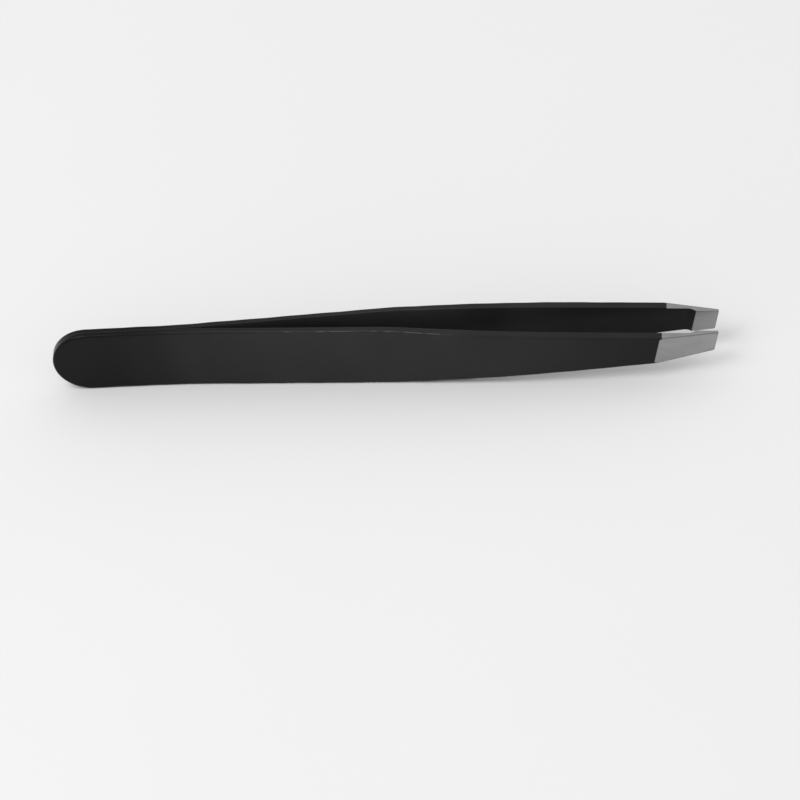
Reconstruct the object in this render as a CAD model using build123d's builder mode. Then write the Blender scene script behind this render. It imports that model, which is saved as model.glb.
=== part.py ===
from build123d import *
from math import asin, cos, degrees, radians, sin, tan
import os

os.makedirs("parts", exist_ok=True)

# Slant tweezers: two mirrored steel strips, spot-welded back to back at the round head.
# They splay apart past the welds, thicken where they narrow, bend parallel again, and end in
# ground jaws cut on a slant.
# X runs from the head to the tips, Y is the way the arms close, Z is the width of the strips.
# The origin is the middle of the footprint, with the tweezers standing on their lower long edges.

# Driving dimensions, in millimetres and degrees.
length = 95.0
strip_width = 10.6
tail_thickness = 0.85      # from the head to the taper
blade_thickness = 1.25     # in front of the bend, up to the outer bevel of the jaw
edge_chamfer = 0.2         # eased long edges on the outside of each arm

splay_from_head = 18.0     # where the arms leave each other
splay_radius = 150.0
bend_from_head = 64.5      # where they turn parallel
bend_radius = 300.0
gap_between_arms = 4.85    # clear gap between the arms in front of the bend

taper_from_head = 48.5     # where the strip starts to narrow and to thicken
taper_radius = 60.0
thickening_radius = 150.0
slant = 14.2               # angle of the tip line, of the bevel and of the pad
tip_above_middle = 1.85    # upper corner of the tip, from the strip's middle line
tip_below_middle = 1.6     # lower corner
side_grind_length = 9.0    # stretch of the lower edge that is ground up to the tip
side_grind_start = 2.55    # depth of the lower edge below the middle line where that starts

bevel_length = 8.1         # outer bevel, square to the tip line
pad_length = 3.15          # gripping pad, square to the tip line
pad_height = 0.5           # how far the pad stands out of the arm's inner face
pad_run_in = 1.5           # radius of the hollow behind the pad
tip_thickness = 0.4
bare_behind_bevel = 0.15   # the coating ends a hair behind the bevel

flex_from_head = 26.0      # middle of the stretch that bends when the arms are squeezed
weld_diameter = 3.2
weld_height = 0.8
weld_from_head = 7.0
weld_spacing = 6.0

overrun = 2.0              # how far the uncut strips run past the tips
margin = 1.0               # how near a corner lies to the place it is looked for
outward_share = 0.9        # least sideways share of the normal of an outer face

# Worked-out places.
head_x = -length / 2
tip_x = length / 2
middle_z = strip_width / 2
splay_x = head_x + splay_from_head
bend_x = head_x + bend_from_head
flex_x = head_x + flex_from_head
taper_x = head_x + taper_from_head
half_gap = gap_between_arms / 2
tip_top_z = middle_z + tip_above_middle
tip_bottom_z = middle_z - tip_below_middle
tip_bottom_x = tip_x - (tip_top_z - tip_bottom_z) * tan(radians(slant))
grind_x = tip_bottom_x - side_grind_length
past_tip_x = tip_x + overrun

# The jaw's frame stands on the tip's upper corner: x is square to the slanted tip line,
# y is the way the arms close, and z runs up along the tip line.
jaw_frame = Plane(
    origin=(tip_x, 0, tip_top_z),
    x_dir=(cos(radians(slant)), 0, -sin(radians(slant))),
    z_dir=(sin(radians(slant)), 0, cos(radians(slant))),
)
pad_y = -half_gap + pad_height
tip_outer_y = pad_y - tip_thickness
blade_outer_y = -half_gap - blade_thickness
taper_y = -half_gap * (taper_x - splay_x) / (bend_x - splay_x)
hollow_angle = degrees(asin(((2 * pad_run_in * pad_height - pad_height**2) ** 0.5) / pad_run_in))
hollow_length = pad_run_in * sin(radians(hollow_angle))

# The jaw's base is parallel to the tip line: behind it the strip is coated, in front it is bare.
jaw_base = Plane(
    origin=jaw_frame.from_local_coords((-bevel_length - bare_behind_bevel, 0, 0)),
    z_dir=jaw_frame.x_dir,
)
bevel_direction = Vector(bevel_length, tip_outer_y - blade_outer_y, 0).normalized()
bevel_normal = jaw_frame.x_dir * bevel_direction.Y - jaw_frame.y_dir * bevel_direction.X
bevel_plane = Plane(
    origin=jaw_frame.from_local_coords((-bevel_length, blade_outer_y, 0)),
    z_dir=bevel_normal,
)
flex_plane = Plane(origin=(flex_x, 0, 0), z_dir=(1, 0, 0))
weld_places = [
    (head_x + weld_from_head, middle_z),
    (head_x + weld_from_head + weld_spacing, middle_z),
]


# The whole front arm, a strip bent in the XY plane and cut out to its outline in the XZ plane.
with BuildPart() as front_arm:
    with BuildSketch(Plane.XY) as edge_view:
        with BuildLine():
            Polyline(
                (head_x, 0),
                (splay_x, 0),
                (bend_x, -half_gap),
                (past_tip_x, -half_gap),
                (past_tip_x, blade_outer_y),
                (bend_x, blade_outer_y),
                (taper_x, taper_y - tail_thickness),
                (splay_x, -tail_thickness),
                (head_x, -tail_thickness),
                close=True,
            )
        make_face()
        bends = ((splay_x, splay_radius), (taper_x, thickening_radius), (bend_x, bend_radius))
        for corner_x, radius in bends:
            near = (corner_x - margin, corner_x + margin)
            corners = edge_view.vertices().filter_by_position(Axis.X, *near)
            fillet(corners, radius)
    extrude(amount=strip_width)

    with BuildSketch(jaw_frame) as pad_section:
        with BuildLine():
            hollow = JernArc(
                start=(-pad_length - hollow_length, -half_gap),
                tangent=(1, 0),
                radius=pad_run_in,
                arc_size=hollow_angle,
            )
            Polyline(
                hollow @ 1,
                (overrun, pad_y),
                (overrun, -half_gap - tip_thickness),
                (-pad_length - hollow_length, -half_gap - tip_thickness),
                hollow @ 0,
            )
        make_face()
    extrude(amount=strip_width, both=True)

    with BuildSketch(Plane.XZ) as outline:
        with BuildLine():
            upper = Polyline(
                (head_x + middle_z, strip_width),
                (taper_x, strip_width),
                (tip_x, tip_top_z),
                (tip_bottom_x, tip_bottom_z),
                (grind_x, middle_z - side_grind_start),
                (taper_x, 0),
                (head_x + middle_z, 0),
            )
            ThreePointArc(upper @ 1, (head_x, middle_z), upper @ 0)
        make_face()
        near = (taper_x - margin, taper_x + margin)
        corners = outline.vertices().filter_by_position(Axis.X, *near)
        fillet(corners, taper_radius)
    extrude(amount=strip_width, both=True, mode=Mode.INTERSECT)

    # An edge of the outer rim belongs to one outer face only; the rim at the tip is cut off below.
    outer_faces = front_arm.faces().filter_by(lambda face: face.normal_at().Y < -outward_share)
    rim = [
        edge
        for edge in outer_faces.edges()
        if sum(edge in face.edges() for face in outer_faces) == 1 and edge.center().X < tip_x - margin
    ]
    chamfer(rim, edge_chamfer)
    split(bisect_by=bevel_plane, keep=Keep.BOTTOM)


# The arm is one strip. It is held here as three nodes: the tail that is welded, the blade that
# swings about the flexure, and the bare jaw at the end of the blade.
with BuildPart() as front_arm_tail:
    add(front_arm.part)
    split(bisect_by=flex_plane, keep=Keep.BOTTOM)
    with BuildSketch(Plane.XZ) as weld_seats:
        with Locations(*weld_places):
            Circle(weld_diameter / 2)
    extrude(amount=weld_height / 2, mode=Mode.SUBTRACT)

with BuildPart() as front_arm_blade:
    add(front_arm.part)
    split(bisect_by=flex_plane, keep=Keep.TOP)
    split(bisect_by=jaw_base, keep=Keep.BOTTOM)

with BuildPart() as front_jaw:
    add(front_arm.part)
    split(bisect_by=jaw_base, keep=Keep.TOP)

# The rear arm is the front arm's mirror image.
with BuildPart() as rear_arm_tail:
    mirror(front_arm_tail.part, about=Plane.XZ)

with BuildPart() as rear_arm_blade:
    mirror(front_arm_blade.part, about=Plane.XZ)

with BuildPart() as rear_jaw:
    mirror(front_jaw.part, about=Plane.XZ)

# The nuggets of the spot welds, half of each in either tail.
with BuildPart() as spot_welds:
    with BuildSketch(Plane.XZ):
        with Locations(*weld_places):
            Circle(weld_diameter / 2)
    extrude(amount=weld_height / 2, both=True)

pieces = {
    "front_arm_tail": front_arm_tail,
    "front_arm_blade": front_arm_blade,
    "front_jaw": front_jaw,
    "rear_arm_tail": rear_arm_tail,
    "rear_arm_blade": rear_arm_blade,
    "rear_jaw": rear_jaw,
    "spot_welds": spot_welds,
}
for name, piece in pieces.items():
    piece.part.label = name
    export_step(piece.part, f"parts/{name}.step")
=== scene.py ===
from math import cos, pi, radians, sin, sqrt, tan
from typing import NamedTuple

import bmesh
import bpy
import numpy as np
from mathutils import Matrix, Vector


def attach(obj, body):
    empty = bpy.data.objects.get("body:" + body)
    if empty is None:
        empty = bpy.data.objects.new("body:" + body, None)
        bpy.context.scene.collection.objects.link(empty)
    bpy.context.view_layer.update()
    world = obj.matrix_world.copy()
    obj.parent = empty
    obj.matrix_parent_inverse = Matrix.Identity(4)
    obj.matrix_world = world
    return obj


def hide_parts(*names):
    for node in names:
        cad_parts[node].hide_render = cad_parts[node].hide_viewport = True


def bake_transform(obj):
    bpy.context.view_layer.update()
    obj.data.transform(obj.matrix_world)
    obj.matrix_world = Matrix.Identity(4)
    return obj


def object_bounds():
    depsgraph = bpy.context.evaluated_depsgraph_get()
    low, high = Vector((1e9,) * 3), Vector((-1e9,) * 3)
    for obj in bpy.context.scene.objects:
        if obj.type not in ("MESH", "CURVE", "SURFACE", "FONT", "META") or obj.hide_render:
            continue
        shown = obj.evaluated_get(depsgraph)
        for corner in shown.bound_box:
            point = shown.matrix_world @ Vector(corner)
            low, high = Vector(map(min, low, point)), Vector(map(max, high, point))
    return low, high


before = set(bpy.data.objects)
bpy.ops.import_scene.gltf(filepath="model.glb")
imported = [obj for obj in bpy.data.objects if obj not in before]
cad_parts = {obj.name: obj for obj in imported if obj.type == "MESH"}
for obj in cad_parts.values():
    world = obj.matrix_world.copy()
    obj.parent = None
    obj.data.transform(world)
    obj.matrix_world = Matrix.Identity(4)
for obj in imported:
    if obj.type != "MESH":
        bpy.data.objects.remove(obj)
cad_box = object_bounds()

# Slant tweezers: each arm is one strip of steel, black up to the line where its jaw is ground bare.
# X runs from the round head to the tips, Y is the way the arms close, Z is the width of the strips.
# An arm's skin is a row of rings round the strip. Across the coated strip the rings stand upright,
# and towards the jaw they lean over until they are parallel to the slanted tip line.

MM = 0.001

# Places from the frame.
head_x = cad_box[0].x
tip_x = cad_box[1].x
strip_width = cad_box[1].z
middle_z = strip_width / 2

# Sizes of the strip, the same as in the CAD model.
tail_thickness = 0.85 * MM
blade_thickness = 1.25 * MM
half_gap = 2.425 * MM
splay_x = head_x + 18 * MM
splay_radius = 150 * MM
bend_x = head_x + 64.5 * MM
bend_radius = 300 * MM
taper_x = head_x + 48.5 * MM
taper_radius = 60 * MM
thickening_radius = 150 * MM

# Sizes of the jaw. Lengths from the tip line are square to it.
slant = radians(14.2)
tip_above_middle = 1.85 * MM
tip_below_middle = 1.6 * MM
side_grind_length = 9 * MM
side_grind_start = 2.55 * MM
bevel_length = 8.1 * MM
base_length = 8.25 * MM
pad_length = 3.15 * MM
pad_height = 0.5 * MM
pad_run_in = 1.5 * MM
tip_thickness = 0.4 * MM

# Edges: the outer rim is rolled over, less deeply towards the jaw, and hand polishing makes it wander.
# The wander is a sum of waves, each with its length, its share and how many times it takes the phase.
rim_inset = 0.4 * MM
rim_depth = 0.3 * MM
rim_depth_at_jaw = 0.15 * MM
rim_wander = 0.22
rim_waves = ((1.9 * MM, 1, 1), (0.83 * MM, 1, 2), (4.7 * MM, 0.6, 1))
rim_phases = {"top": 0, "bottom": 2.1, "front": 0, "rear": 4.3}
rim_steady = 9 * MM        # over this length the wander fades in at the head and out at the jaw
inner_radius = 0.06 * MM
inner_radius_at_tail = 0.015 * MM
ridge_radius = 0.07 * MM
ridge_width = 0.12 * MM
tip_corner = 0.14 * MM
tip_edge = 0.03 * MM

# Where the edge bands turn bare, from the tip line; the two arms were ground by hand. On the half of
# the rim beside the outer face, the black goes on to the end of its tongue.
bare_bands = {"front": 7.85 * MM, "rear": 7.3 * MM}
tongue_end = 7.3 * MM

# How finely the skin is divided.
corner_steps = 8
inner_corner_steps = 3
head_steps = 28
hollow_steps = 8
tip_steps = 4
strip_step = 0.8 * MM
jaw_step = 0.3 * MM
least_step = 0.001 * MM
lean_start_x = taper_x + 20 * MM       # where the rings start to lean over
lean_rounds = 8                        # a leaning ring's ends settle on the curved edges in these
least_cap = 2 * MM                     # a lower end ring is the end of the round head
touching = 1e-9                        # metres
merge_distance = 1e-7                  # metres
sharp_angle = radians(32)
face_rows = (0, 0.015, 0.1, 0.25, 0.4, 0.5, 0.6, 0.75, 0.9, 0.985, 1)
band_rows = (0.06, 0.5, 0.94)

# A face touches the zones of two spots, and takes the one that comes first here.
zone_order = ("outer rim", "inner rim", "band", "outer", "inner")


# ---- Shape ---------------------------------------------------------------------------------------


def rounded_line(corners, radii):
    """A function of x: straight runs through the corners, joined by tangent arcs of the given radii."""
    places = np.array(corners)
    runs = np.diff(places, axis=0)
    angles = np.arctan2(runs[:, 1], runs[:, 0])

    def line(x):
        for corner, before, after, radius in zip(places[1:-1], angles, angles[1:], radii):
            side = 1 if after > before else -1
            reach = radius * tan(abs(after - before) / 2)
            start = corner - reach * np.array((cos(before), sin(before)))
            if start[0] < x < corner[0] + reach * cos(after):
                centre = start + side * radius * np.array((-sin(before), cos(before)))
                return centre[1] - side * sqrt(radius**2 - (x - centre[0]) ** 2)
        return float(np.interp(x, places[:, 0], places[:, 1]))

    return line


tip_middle_x = tip_x - tip_above_middle * tan(slant)
tip_bottom_x = tip_x - (tip_above_middle + tip_below_middle) * tan(slant)
grind_x = tip_bottom_x - side_grind_length
bevel_start_x = tip_x - bevel_length / cos(slant)
past_tip_x = tip_x + 2 * MM
hollow_length = sqrt(2 * pad_run_in * pad_height - pad_height**2)
tip_outer_y = -half_gap + pad_height - tip_thickness
blade_outer_y = -half_gap - blade_thickness
taper_y = -half_gap * (taper_x - splay_x) / (bend_x - splay_x)

arm_inside = rounded_line(
    [(head_x, 0), (splay_x, 0), (bend_x, -half_gap), (past_tip_x, -half_gap)],
    [splay_radius, bend_radius],
)
arm_outside = rounded_line(
    [
        (head_x, -tail_thickness),
        (splay_x, -tail_thickness),
        (taper_x, taper_y - tail_thickness),
        (bend_x, blade_outer_y),
        (past_tip_x, blade_outer_y),
    ],
    [splay_radius, thickening_radius, bend_radius],
)
upper_edge = rounded_line(
    [(head_x, strip_width), (taper_x, strip_width), (tip_x, middle_z + tip_above_middle)],
    [taper_radius],
)
lower_edge = rounded_line(
    [
        (head_x, 0),
        (taper_x, 0),
        (grind_x, middle_z - side_grind_start),
        (tip_bottom_x, middle_z - tip_below_middle),
    ],
    [taper_radius, 0],
)


def from_tip_line(x, z):
    """How far a place is behind the tip line, square to it."""
    return (tip_middle_x + (z - middle_z) * tan(slant) - x) * cos(slant)


def inside_y(x, z):
    """The inner face of the front arm, with the pad at the tip and the hollow ground behind it."""
    into_hollow = pad_length + hollow_length - from_tip_line(x, z)
    rise = pad_run_in - sqrt(pad_run_in**2 - min(max(into_hollow, 0), hollow_length) ** 2)
    return arm_inside(x) + rise


def bevel_y(x, z):
    """The plane of the outer bevel, which thins the jaw towards the tip line."""
    along = 1 - from_tip_line(x, z) / bevel_length
    return blade_outer_y + (tip_outer_y - blade_outer_y) * along


def corner_drop(inset, radius):
    """How far a rounded corner lies below its face, at an inset from its side."""
    return radius - sqrt(radius**2 - max(radius - inset, 0) ** 2)


class Station:
    """One ring's place: its ends on the upper and lower edge, and the way in from each."""

    def __init__(self, top, bottom, into_top, into_bottom):
        self.ends = {"top": Vector(top), "bottom": Vector(bottom)}
        self.ways_in = {"top": Vector(into_top), "bottom": Vector(into_bottom)}

    def inset(self, side, distance):
        return self.ends[side] + self.ways_in[side] * distance


def head_station(angle):
    """An upright ring in the round head: angle 0 is its end, and a right angle is the strip's start."""
    centre = Vector((head_x + middle_z, middle_z))
    top = Vector((-cos(angle), sin(angle)))
    bottom = Vector((-cos(angle), -sin(angle)))
    return Station(centre + top * middle_z, centre + bottom * middle_z, -top, -bottom)


def strip_station(x, lean, in_from_end=0):
    """A ring through x on the middle line. Lean is 0 for an upright ring and 1 along the tip line."""
    slope = lean * tan(slant)
    ends = []
    for edge, z in ((upper_edge, strip_width), (lower_edge, 0)):
        for _ in range(lean_rounds):
            z = edge(x + slope * (z - middle_z))
        ends.append(Vector((x + slope * (z - middle_z), z)))
    down = (ends[1] - ends[0]).normalized()
    return Station(ends[0] + down * in_from_end, ends[1] - down * in_from_end, down, -down)


def jaw_x(length):
    """Where the line at this length from the tip line crosses the middle line."""
    return tip_middle_x - length / cos(slant)


def share_between(value, start, end):
    """How far a value is from start to end, from 0 to 1."""
    return min(max((value - start) / (end - start), 0), 1)


def strip_stations():
    """From the head's end to the base of the jaw."""
    stations = [head_station(angle) for angle in np.linspace(0, pi / 2, head_steps + 1)]
    start = head_x + middle_z
    base = jaw_x(base_length)
    count = round((base - start) / strip_step)
    for x in np.linspace(start, base, count + 1)[1:]:
        share = share_between(x, lean_start_x, base)
        smooth_share = share * share * (3 - 2 * share)
        stations.append(strip_station(x, smooth_share))
    return stations


def jaw_stations(arm):
    """From the base of the jaw to the tip. Rings stand wherever a ground face begins or ends."""
    lengths = {base_length, bevel_length, bare_bands[arm], tongue_end, pad_length}
    lengths |= {pad_length - tip_edge, pad_length + tip_edge}
    lengths |= {jaw_step * k for k in range(1, round(bevel_length / jaw_step))}
    # The bevel's plane meets each step of the rolled rim a little further on.
    fall = (tip_outer_y - blade_outer_y) / bevel_length
    for k in range(1, corner_steps + 1):
        lengths.add(bevel_length - rim_depth_at_jaw * (1 - cos(k / corner_steps * pi / 2)) / fall)
    for k in range(hollow_steps + 1):
        lengths.add(pad_length + hollow_length * (1 - k / hollow_steps))
    for k in range(tip_steps + 1):
        lengths.add(tip_corner * (1 - sin(k / tip_steps * pi / 2)))
        lengths.add(tip_edge * (1 - sin(k / tip_steps * pi / 2)))
    kept = []
    for length in sorted(lengths, reverse=True):
        if not kept or kept[-1] - length > least_step:
            kept.append(length)
    return [strip_station(jaw_x(length), 1, corner_drop(length, tip_corner)) for length in kept]


def rim_depth_at(x):
    return float(np.interp(x, (taper_x, bevel_start_x), (rim_depth, rim_depth_at_jaw)))


def inner_radius_at(x):
    return float(np.interp(x, (splay_x, taper_x), (inner_radius_at_tail, inner_radius)))


def rim_scale(x, side, arm):
    """The size of the outer rim, wandering along the strip and steady at the head and the jaw."""
    phase = rim_phases[side] + rim_phases[arm]
    wave = sum(share * sin(x / length + times * phase) for length, share, times in rim_waves)
    whole = sum(share for _, share, _ in rim_waves)
    fade_in = share_between(x, head_x, head_x + rim_steady)
    fade_out = share_between(x, bevel_start_x, bevel_start_x - rim_steady)
    return 1 + rim_wander * wave / whole * fade_in * fade_out


class Spot(NamedTuple):
    """A point of a ring, with what decides the material, the wear, the painted glints and the painted
    shade of the faces beside it.
    """

    place: Vector
    zone: str
    turn: float       # how far round the outer rim, from 0 at the outer face to 1 at the band
    ground: bool      # whether it lies on the bevel
    # The edge value also masks the painted glints on the coating and the painted shade on the bare steel.
    edge: float       # how near it is to a crest, from 0 to 1


def ring(station, arm):
    """The spots round one station.

    The ring goes down the outer face, across the lower band, up the inner face and back over the top.
    """
    middle = (station.ends["top"] + station.ends["bottom"]) / 2
    thinned = corner_drop(max(from_tip_line(*middle), 0), tip_edge)
    # The spots at the tip line get the full edge value, for the painted shade at the tip's end.
    tip_shade_share = float(from_tip_line(*middle) < ridge_width / 2)
    corner = inner_radius_at(middle.x)
    spots = []

    def add_spot(at, y, zone, turn=0.0, ground=False, edge=0.0):
        spots.append(Spot(Vector((at.x, y, at.y)), zone, turn, ground, edge))

    def outer(at, inset, drop, zone, turn=0.0):
        y_coated = arm_outside(at.x) + drop
        y_ground = bevel_y(at.x, at.y) + corner_drop(inset, ridge_radius) + thinned
        ground = y_ground > y_coated - touching
        # On the bevel the edge value marks the ridge and the tip for painted shade; on the coated rim it
        # marks the crest for painted glints.
        edge = max(float(inset < ridge_width), tip_shade_share) if ground else sin(turn * pi)
        add_spot(at, max(y_coated, y_ground), zone, turn, ground, edge)

    def inner(at, drop, zone, edge=0.0):
        y = inside_y(at.x, at.y) - thinned - drop
        add_spot(at, y, zone, edge=max(edge, tip_shade_share))

    def rim_and_band(side):
        """From the outer face over the rim, the band and the inner corner, up to the inner face."""
        end = station.ends[side]
        scale = rim_scale(end.x, side, arm)
        for k in range(1, corner_steps + 1):
            turn = k / corner_steps
            inset = rim_inset * scale * (1 - sin(turn * pi / 2))
            drop = rim_depth_at(end.x) * scale * (1 - cos(turn * pi / 2))
            outer(station.inset(side, inset), inset, drop, "outer rim", turn)
        first = spots[-1].place.y
        last = inside_y(end.x, end.y) - thinned - corner
        for share in band_rows:
            add_spot(end, first + (last - first) * share, "band", turn=1.0)
        for k in range(inner_corner_steps):
            angle = k / inner_corner_steps * pi / 2
            at = station.inset(side, corner * (1 - cos(angle)))
            inner(at, corner * (1 - sin(angle)), "inner rim", sin(2 * angle))

    outer_top, outer_bottom = (
        station.inset(side, rim_inset * rim_scale(station.ends[side].x, side, arm))
        for side in ("top", "bottom")
    )
    for share in face_rows:
        outer(outer_top.lerp(outer_bottom, share), rim_inset, 0, "outer")
    rim_and_band("bottom")
    inner_top = station.inset("top", corner)
    inner_bottom = station.inset("bottom", corner)
    for share in reversed(face_rows):
        inner(inner_top.lerp(inner_bottom, share), 0, "inner")
    over_the_top = len(spots)
    rim_and_band("top")
    spots[over_the_top:] = reversed(spots[over_the_top:])
    return spots


def is_bare(zone, corners, arm):
    """Whether the face between these spots is ground bare."""
    length = sum(from_tip_line(corner.place.x, corner.place.z) for corner in corners) / len(corners)
    ground = all(corner.ground for corner in corners)
    if zone == "inner":
        return length < pad_length
    if zone == "outer":
        return ground
    if zone == "outer rim":
        turn = sum(corner.turn for corner in corners) / len(corners)
        bare_from = tongue_end + (bare_bands[arm] - tongue_end) * max(2 * turn - 1, 0)
        return ground or length < bare_from
    return length < bare_bands[arm]


def skin(name, arm, rings, coating, steel=None):
    """Closes the rings into a mesh, mirrored for the rear arm and capped at each end.

    The round head comes to a line at its end and needs no cap. The coating covers the whole mesh,
    unless there is a steel for the faces that are ground bare.
    """
    mesh_data = bmesh.new()
    # The edge value goes to the shaders: it makes the rim smoother and masks painted glints and painted
    # shade.
    edge_layer = mesh_data.verts.layers.float.new("edge")
    inside_layer = mesh_data.verts.layers.float.new("inside")
    flip = -1 if arm == "rear" else 1
    rows = []
    for spots in rings:
        row = []
        for spot in spots:
            vertex = mesh_data.verts.new((spot.place.x, flip * spot.place.y, spot.place.z))
            vertex[edge_layer] = spot.edge
            # Marks the faces between the arms, where the coating paints its own light over their shade.
            vertex[inside_layer] = float(spot.zone in ("inner", "inner rim"))
            row.append(vertex)
        rows.append(row)

    def add_face(corners, zone):
        made = mesh_data.faces.new([rows[i][j] for i, j in corners])
        made.smooth = True
        spots = [rings[i][j] for i, j in corners]
        made.material_index = int(steel is not None and is_bare(zone, spots, arm))

    ring_size = len(rows[0])
    for i in range(len(rows) - 1):
        for j in range(ring_size):
            k = (j + 1) % ring_size
            corners = ((i, j), (i + 1, j), (i + 1, k), (i, k))
            zones = (rings[i][j].zone, rings[i][k].zone)
            zone = next(zone for zone in zone_order if zone in zones)
            uncut = [n for n, (row, column) in enumerate(corners) if not rings[row][column].ground]
            if zone == "outer rim" and len(uncut) == 1:
                # Halved along the diagonal, which then outlines the bevel.
                n = uncut[0]
                add_face([corners[m % 4] for m in (n + 1, n + 2, n + 3)], zone)
                add_face([corners[m % 4] for m in (n + 3, n, n + 1)], zone)
            else:
                add_face(corners, zone)
    for row, bare in ((rows[0], False), (rows[-1], steel is not None)):
        if (row[0].co - row[ring_size // 2].co).length > least_cap:
            cap = mesh_data.faces.new(row)
            cap.material_index = int(bare)
    bmesh.ops.remove_doubles(mesh_data, verts=mesh_data.verts, dist=merge_distance)
    bmesh.ops.recalc_face_normals(mesh_data, faces=mesh_data.faces)
    for edge in mesh_data.edges:
        edge.smooth = edge.calc_face_angle(0) < sharp_angle
    data = bpy.data.meshes.new(name)
    mesh_data.to_mesh(data)
    mesh_data.free()
    data.materials.append(coating)
    if steel is not None:
        data.materials.append(steel)
    piece = bpy.data.objects.new(name, data)
    bpy.context.scene.collection.objects.link(piece)
    return piece


# ---- Materials -----------------------------------------------------------------------------------


def start_material(name, **settings):
    """A material whose Principled shader has these values, with its shader and its maker of nodes."""
    material = bpy.data.materials.new(name)
    material.use_nodes = True
    tree = material.node_tree
    shader = tree.nodes["Principled BSDF"]
    for socket, value in settings.items():
        shader.inputs[socket.replace("_", " ")].default_value = value

    def node(kind, links=(), **values):
        made = tree.nodes.new(kind)
        for key, value in values.items():
            if key in made.inputs:
                made.inputs[key].default_value = value
            else:
                setattr(made, key, value)
        for socket, source in dict(links).items():
            tree.links.new(source, made.inputs[socket])
        return made

    return material, shader, node


def attribute(node, name):
    """What the mesh carries under this name."""
    return node("ShaderNodeAttribute", attribute_name=name).outputs["Fac"]


def noise(node, coordinates, scale=1.0, detail=2.0, roughness=0.5):
    """A noise value. Plain coordinates need a scale per metre, and stretched ones bring their own."""
    settings = {"Scale": scale, "Detail": detail, "Roughness": roughness}
    made = node("ShaderNodeTexNoise", {"Vector": coordinates}, **settings)
    return made.outputs["Factor"] if "Factor" in made.outputs else made.outputs["Fac"]


def spread(node, value, low, high, from_low=0.3, from_high=0.7):
    """Maps a value onto the range from low to high. By default it is a noise value."""
    made = node("ShaderNodeMapRange", {"Value": value})
    made.inputs["From Min"].default_value = from_low
    made.inputs["From Max"].default_value = from_high
    made.inputs["To Min"].default_value = low
    made.inputs["To Max"].default_value = high
    return made.outputs["Result"]


def shades(node, value, dark, light):
    """A colour between a dark and a light one, by a value from 0 to 1."""
    made = node("ShaderNodeValToRGB", {"Fac": value})
    made.color_ramp.elements[0].color = (*dark, 1)
    made.color_ramp.elements[1].color = (*light, 1)
    return made.outputs["Color"]


def combine(node, operation, first, second=0.0):
    """A sum, a product or the like of two values, each a socket or a plain number."""
    made = node("ShaderNodeMath", operation=operation)
    tree = made.id_data
    for socket, value in zip(made.inputs, (first, second)):
        if isinstance(value, (int, float)):
            socket.default_value = value
        else:
            tree.links.new(value, socket)
    return made.outputs["Value"]


def add_up(node, first, *others):
    total = first
    for value in others:
        total = combine(node, "ADD", total, value)
    return total


def multiply(node, first, second):
    return combine(node, "MULTIPLY", first, second)


def blend(node, first, second, share):
    """A value that goes from the first to the second as the share goes from 0 to 1."""
    difference = combine(node, "SUBTRACT", second, first)
    return add_up(node, first, multiply(node, difference, share))


def stretched(node, scales, turn=0.0):
    """Object coordinates turned about Y and scaled per axis, in cycles per metre, for drawn-out marks."""
    place = node("ShaderNodeTexCoord").outputs["Object"]
    turned = node("ShaderNodeMapping", {"Vector": place})
    turned.inputs["Rotation"].default_value = (0, turn, 0)
    scaled = node("ShaderNodeMapping", {"Vector": turned.outputs["Vector"]})
    scaled.inputs["Scale"].default_value = scales
    return scaled.outputs["Vector"]


def along(node, stops):
    """A value that changes along X, from stops of distance from the head in millimetres and value."""
    place = node("ShaderNodeTexCoord").outputs["Object"]
    x = node("ShaderNodeSeparateXYZ", {"Vector": place}).outputs["X"]
    ramp = node("ShaderNodeValToRGB", {"Fac": spread(node, x, 0, 1, from_low=head_x, from_high=tip_x)})
    ramp.color_ramp.interpolation = "EASE"
    elements = ramp.color_ramp.elements
    for element, (distance, value) in zip(elements, (stops[0], stops[-1])):
        element.position = distance * MM / (tip_x - head_x)
        element.color = (value, value, value, 1)
    for distance, value in stops[1:-1]:
        elements.new(distance * MM / (tip_x - head_x)).color = (value, value, value, 1)
    return ramp.outputs["Color"]


def coating_tone_with_painted_light(node, clouds):
    """The coating's tone along the strip, with painted light and shade: on its outer face, on its edge
    bands and between the arms.
    """
    # Painted light on the outer face: darkest at the head, lightest over the middle of the strip, darker
    # again towards the jaw.
    face = along(
        node,
        ((8, 0), (14, 0.004), (21, 0.011), (34, 0.0175), (43, 0.0175), (66, 0.0135), (88, 0.003)),
    )
    # A painted sheen of its own on the edge bands, which face up or down.
    band = along(node, ((12, 0), (22, 0.009), (36, 0.014), (46, 0.0165), (60, 0.0155), (84, 0.0115)))
    # Painted light between the arms, which lifts their shade, with less of it towards the jaw.
    inner = along(node, ((0, 0.036), (34, 0.031), (54, 0.034), (66, 0.02), (76, 0.0095), (86, 0.005)))
    normal = node("ShaderNodeNewGeometry").outputs["Normal"]
    painted_sheen_facing = node("ShaderNodeSeparateXYZ", {"Vector": normal}).outputs["Z"]
    # Surfaces that face up or down take the bands' painted sheen, the rest the outer face's painted
    # light.
    painted_facing_tone = blend(node, face, band, combine(node, "ABSOLUTE", painted_sheen_facing))
    tone = blend(node, painted_facing_tone, inner, attribute(node, "inside"))
    return multiply(node, tone, spread(node, clouds, 0.8, 1.2))


def glint_and_wear_dashes(node, rim):
    """Painted glints: bright dashes on the crest of the outer rim, along the stretch where fingers grip
    the tweezers.
    """
    crest_sharpness = 13
    # Where along the strip the painted glints lie.
    glint_stretch = along(node, ((27, 0), (37, 1.0), (54, 1.0), (62, 0)))
    crest = multiply(node, combine(node, "POWER", rim, crest_sharpness), glint_stretch)
    dashes = noise(node, stretched(node, (430, 60, 60)), detail=4)
    return multiply(node, crest, spread(node, dashes, low=0.22, high=1, from_low=0.45, from_high=0.56))


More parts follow.
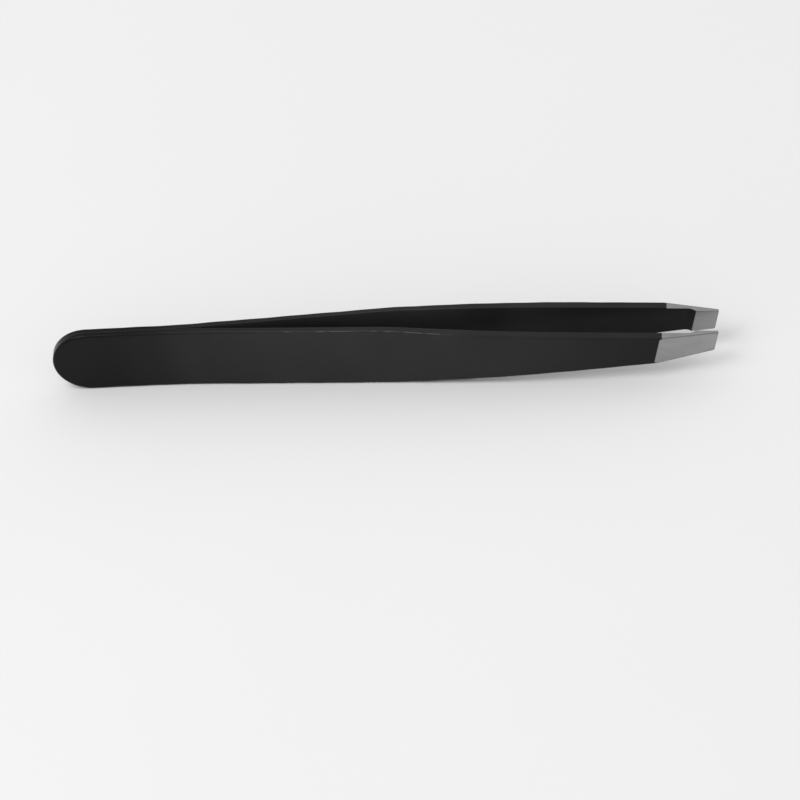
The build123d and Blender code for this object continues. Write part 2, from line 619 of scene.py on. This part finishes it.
def black_coating():
    """Satin black lacquer: faint orange peel, cloudy gloss, a smoother worn rim, painted glints and
    painted light and shade.
    """
    # How much the painted glints brighten the colour, and how much smoother the worn rim and its dashes
    # are.
    painted_glint_tone = 0.075
    rubbed_gloss = 0.08
    rim_gloss = 0.05
    grit_height = 0.12
    line_height = 0.05

    material, shader, node = start_material("satin_black", IOR=1.27)
    tree = material.node_tree
    place = node("ShaderNodeTexCoord").outputs["Object"]
    rim = attribute(node, "edge")
    glint_and_wear = glint_and_wear_dashes(node, rim)
    clouds = noise(node, place, scale=90, detail=3)
    peel = noise(node, place, scale=1700, detail=1.5)
    grit = noise(node, place, scale=9000, detail=1)
    lines = noise(node, stretched(node, (160, 5200, 5200)), detail=3)

    # The colour: the coating's tone with its painted light and shade, plus the painted glints.
    tone = add_up(node, coating_tone_with_painted_light(node, clouds), multiply(node, glint_and_wear, painted_glint_tone))
    tree.links.new(tone, shader.inputs["Base Color"])

    roughness = add_up(
        node,
        spread(node, clouds, 0.27, 0.33),
        spread(node, lines, -0.01, 0.015),
        multiply(node, rim, -rim_gloss),
        multiply(node, glint_and_wear, -rubbed_gloss),
    )
    tree.links.new(roughness, shader.inputs["Roughness"])

    relief = add_up(node, peel, multiply(node, grit, grit_height), multiply(node, lines, line_height))
    bump = node("ShaderNodeBump", {"Height": relief}, Strength=1.0, Distance=0.0022 * MM)
    tree.links.new(bump.outputs["Normal"], shader.inputs["Normal"])
    return material


def ground_steel():
    """Bare stainless steel with fine grinding lines square to the tip line, painted darker on the bevel's
    ridge and at the tip as shade.
    """
    # How dark the painted shade on the bevel's ridge and the tip is.
    painted_ridge_shade = 0.62
    fine_height = 0.5

    material, shader, node = start_material("ground_steel", Metallic=1.0)
    tree = material.node_tree
    coarse = noise(node, stretched(node, (70, 2600, 2600), -slant), detail=4, roughness=0.6)
    fine = noise(node, stretched(node, (220, 9000, 9000), -slant), detail=3, roughness=0.6)
    clouds = noise(node, stretched(node, (260, 420, 420), -slant))

    tone = add_up(
        node,
        spread(node, coarse, 0.29, 0.32),
        spread(node, fine, 0, 0.023),
        spread(node, clouds, 0, 0.036),
    )
    # The painted shade follows the mesh's edge value: the bevel's ridge and the tip.
    ridge_shade_mask = attribute(node, "edge")
    tone = multiply(node, tone, spread(node, ridge_shade_mask, low=1, high=painted_ridge_shade, from_low=0, from_high=1))
    tree.links.new(tone, shader.inputs["Base Color"])

    roughness = add_up(node, spread(node, fine, 0.3, 0.42), spread(node, clouds, -0.03, 0.03))
    tree.links.new(roughness, shader.inputs["Roughness"])

    relief = add_up(node, coarse, multiply(node, fine, fine_height))
    bump = node("ShaderNodeBump", {"Height": relief}, Strength=1.0, Distance=0.0012 * MM)
    tree.links.new(bump.outputs["Normal"], shader.inputs["Normal"])
    return material


def weld_steel():
    """The steel of the weld nuggets, tinted by heat; it lies between the tails."""
    material, shader, node = start_material("weld_steel", Metallic=1.0)
    tree = material.node_tree
    place = node("ShaderNodeTexCoord").outputs["Object"]
    grain = noise(node, place, scale=3000, detail=4)
    colour = shades(node, grain, dark=(0.2, 0.17, 0.14), light=(0.45, 0.42, 0.4))
    tree.links.new(colour, shader.inputs["Base Color"])
    tree.links.new(spread(node, grain, 0.35, 0.55), shader.inputs["Roughness"])
    return material


def floor_material():
    """A plain pale studio floor, with a barely visible mottle."""
    material, shader, node = start_material("pale_floor", Roughness=0.9, Specular_IOR_Level=0.1)
    place = node("ShaderNodeTexCoord").outputs["Object"]
    mottle = noise(node, place, scale=14, detail=4)
    colour = shades(node, mottle, dark=(0.80, 0.80, 0.80), light=(0.83, 0.83, 0.83))
    material.node_tree.links.new(colour, shader.inputs["Base Color"])
    return material


# ---- The object ----------------------------------------------------------------------------------


def build_arm(arm, coating, steel):
    """The coated strip from the head's end to the base of the jaw, and the jaw at its end, which rides on
    the arm.
    """
    strip_rings = [ring(station, arm) for station in strip_stations()]
    strip = skin(f"{arm}_arm_strip", arm, strip_rings, coating)
    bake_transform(strip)
    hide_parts(f"{arm}_arm_tail", f"{arm}_arm_blade")

    jaw_rings = [ring(station, arm) for station in jaw_stations(arm)]
    jaw = skin(f"{arm}_jaw_ground", arm, jaw_rings, coating, steel)
    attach(jaw, f"{arm}_arm")
    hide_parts(f"{arm}_jaw")


coating = black_coating()
steel = ground_steel()
for arm in ("front", "rear"):
    build_arm(arm, coating, steel)

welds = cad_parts["spot_welds"]
welds.data.materials.clear()
welds.data.materials.append(weld_steel())


# ---- Floor, light and camera ---------------------------------------------------------------------


floor_reach = 3.0          # metres
far_clip = 20              # metres
world_light = 0.75


def add_floor():
    data = bpy.data.meshes.new("floor")
    corners = [(floor_reach * x, floor_reach * y, 0) for x, y in ((-1, -1), (1, -1), (1, 1), (-1, 1))]
    data.from_pydata(corners, [], [(0, 1, 2, 3)])
    data.materials.append(floor_material())
    floor = bpy.data.objects.new("floor", data)
    bpy.context.scene.collection.objects.link(floor)


def add_softbox(name, direction, distance, size, power):
    """A square area light that faces the object from a direction."""
    light = bpy.data.lights.new(name, "AREA")
    light.shape = "SQUARE"
    light.size = size
    light.energy = power
    box = bpy.data.objects.new(name, light)
    way = Vector(direction).normalized()
    box.location = way * distance
    box.rotation_mode = "QUATERNION"
    box.rotation_quaternion = way.to_track_quat("Z", "Y")
    bpy.context.scene.collection.objects.link(box)


def add_camera(azimuth, elevation, roll, distance, lens, aim_right, aim_up):
    """A camera that stands opposite the object's middle and is turned a little aside from it."""
    azimuth, elevation, roll = (radians(angle) for angle in (azimuth, elevation, roll))
    away = Vector((sin(azimuth), -cos(azimuth), 0))
    back = away * cos(elevation) + Vector((0, 0, sin(elevation)))
    level_right = Vector((cos(azimuth), sin(azimuth), 0))
    level_up = back.cross(level_right)
    right = level_right * cos(roll) + level_up * sin(roll)
    up = level_up * cos(roll) - level_right * sin(roll)
    middle = Vector((0, 0, middle_z))
    place = middle + back * distance
    view_back = (place - (middle + right * aim_right + up * aim_up)).normalized()
    view_right = up.cross(view_back).normalized()
    view_up = view_back.cross(view_right)
    camera_data = bpy.data.cameras.new("camera")
    camera_data.lens = lens
    camera = bpy.data.objects.new("camera", camera_data)
    turn = Matrix((view_right, view_up, view_back)).transposed()
    camera.matrix_world = Matrix.Translation(place) @ turn.to_4x4()
    camera_data.clip_end = far_clip
    bpy.context.scene.collection.objects.link(camera)
    bpy.context.scene.camera = camera


# The light and the view of the photograph.
add_floor()
add_softbox("key", direction=(-0.45, -0.27, 0.85), distance=1.0, size=0.55, power=4.2)
add_camera(
    azimuth=8.44,
    elevation=45.03,
    roll=-8.6,
    distance=1.295,
    lens=411.5,
    aim_right=2.08 * MM,
    aim_up=-7.76 * MM,
)

world = bpy.data.worlds.new("studio")
world.use_nodes = True
world.node_tree.nodes["Background"].inputs["Color"].default_value = (1, 1, 1, 1)
world.node_tree.nodes["Background"].inputs["Strength"].default_value = world_light
bpy.context.scene.world = world
bpy.context.scene.view_settings.view_transform = "Standard"
